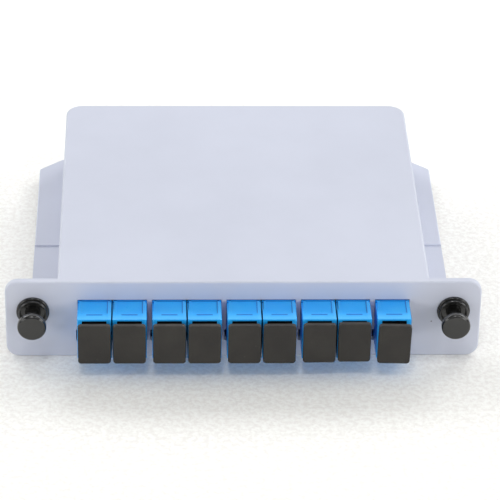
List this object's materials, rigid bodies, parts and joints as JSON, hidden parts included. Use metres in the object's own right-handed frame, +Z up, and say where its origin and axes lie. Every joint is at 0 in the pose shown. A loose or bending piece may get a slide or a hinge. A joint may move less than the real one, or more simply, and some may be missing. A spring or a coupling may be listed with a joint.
{
  "type": "plug-in fibre splitter cassette",
  "caption": "Plug-in optical splitter cassette: pale moulded box with guide rails, wide front panel with a row of blue capped fibre ports and a black push-pull latch at each end.",
  "frame": {"origin": "centre of the box's underside, midway between the panel's front face and the rear wall", "axes": "+X to the right seen from the front panel, +Y from the front panel to the rear wall, +Z up"},
  "size_m": [0.13, 0.1139, 0.024],
  "materials": {
    "shell_plastic": "fine satin moulding, pale blue grey",
    "adapter_plastic": "satin gloss moulding, bright blue",
    "cap_plastic": "soft matt moulding, dark brown grey",
    "latch_plastic": "moulded nylon, black",
    "screw_steel": "plated",
    "holder_plastic": "plain moulding",
    "ceramic": "ground ceramic",
    "boot_rubber": "soft matt moulding",
    "fibre_jacket": "plain extruded jacket",
    "module_metal": "drawn tube"
  },
  "bodies": {
    "cassette": {"housing": "shell_plastic", "base_tray": "shell_plastic", "base_screws": "screw_steel", "latch_grommet_left": "latch_plastic", "latch_grommet_right": "latch_plastic", "split_sleeves": "ceramic", "ferrules": "ceramic", "connector_boots": "boot_rubber", "fibre_coil": "fibre_jacket", "input_fibre": "fibre_jacket", "output_ribbon": "fibre_jacket", "splitter_module": "module_metal", "adapter_body_1": "adapter_plastic", "sleeve_holder_1": "holder_plastic", "rear_connector_1": "adapter_plastic", "fibre_lead_1": "fibre_jacket", "adapter_body_2": "adapter_plastic", "sleeve_holder_2": "holder_plastic", "rear_connector_2": "adapter_plastic", "fibre_lead_2": "fibre_jacket", "adapter_body_3": "adapter_plastic", "sleeve_holder_3": "holder_plastic", "rear_connector_3": "adapter_plastic", "fibre_lead_3": "fibre_jacket", "adapter_body_4": "adapter_plastic", "sleeve_holder_4": "holder_plastic", "rear_connector_4": "adapter_plastic", "fibre_lead_4": "fibre_jacket", "adapter_body_5": "adapter_plastic", "sleeve_holder_5": "holder_plastic", "rear_connector_5": "adapter_plastic", "fibre_lead_5": "fibre_jacket", "adapter_body_6": "adapter_plastic", "sleeve_holder_6": "holder_plastic", "rear_connector_6": "adapter_plastic", "fibre_lead_6": "fibre_jacket", "adapter_body_7": "adapter_plastic", "sleeve_holder_7": "holder_plastic", "rear_connector_7": "adapter_plastic", "fibre_lead_7": "fibre_jacket", "adapter_body_8": "adapter_plastic", "sleeve_holder_8": "holder_plastic", "rear_connector_8": "adapter_plastic", "fibre_lead_8": "fibre_jacket", "adapter_body_9": "adapter_plastic", "sleeve_holder_9": "holder_plastic", "rear_connector_9": "adapter_plastic", "fibre_lead_9": "fibre_jacket"},
    "cap_1": {"dust_cap_1": "cap_plastic"},
    "cap_2": {"dust_cap_2": "cap_plastic"},
    "cap_3": {"dust_cap_3": "cap_plastic"},
    "cap_4": {"dust_cap_4": "cap_plastic"},
    "cap_5": {"dust_cap_5": "cap_plastic"},
    "cap_6": {"dust_cap_6": "cap_plastic"},
    "cap_7": {"dust_cap_7": "cap_plastic"},
    "cap_8": {"dust_cap_8": "cap_plastic"},
    "cap_9": {"dust_cap_9": "cap_plastic"},
    "plunger_left": {"latch_plunger_left": "latch_plastic"},
    "plunger_right": {"latch_plunger_right": "latch_plastic"}
  },
  "joints": [
    {"name": "cap_1_pull", "type": "slide", "parent": "cassette", "child": "cap_1", "axis": [0, -1, 0], "range_m": [0, 0.012]},
    {"name": "cap_2_pull", "type": "slide", "parent": "cassette", "child": "cap_2", "axis": [0, -1, 0], "range_m": [0, 0.012]},
    {"name": "cap_3_pull", "type": "slide", "parent": "cassette", "child": "cap_3", "axis": [0, -1, 0], "range_m": [0, 0.012]},
    {"name": "cap_4_pull", "type": "slide", "parent": "cassette", "child": "cap_4", "axis": [0, -1, 0], "range_m": [0, 0.012]},
    {"name": "cap_5_pull", "type": "slide", "parent": "cassette", "child": "cap_5", "axis": [0, -1, 0], "range_m": [0, 0.012]},
    {"name": "cap_6_pull", "type": "slide", "parent": "cassette", "child": "cap_6", "axis": [0, -1, 0], "range_m": [0, 0.012]},
    {"name": "cap_7_pull", "type": "slide", "parent": "cassette", "child": "cap_7", "axis": [0, -1, 0], "range_m": [0, 0.012]},
    {"name": "cap_8_pull", "type": "slide", "parent": "cassette", "child": "cap_8", "axis": [0, -1, 0], "range_m": [0, 0.012]},
    {"name": "cap_9_pull", "type": "slide", "parent": "cassette", "child": "cap_9", "axis": [0, -1, 0], "range_m": [0, 0.012]},
    {"name": "plunger_left_push", "type": "slide", "parent": "cassette", "child": "plunger_left", "axis": [0, 1, 0], "range_m": [0, 0.005]},
    {"name": "plunger_right_push", "type": "slide", "parent": "cassette", "child": "plunger_right", "axis": [0, 1, 0], "range_m": [0, 0.005]}
  ]
}
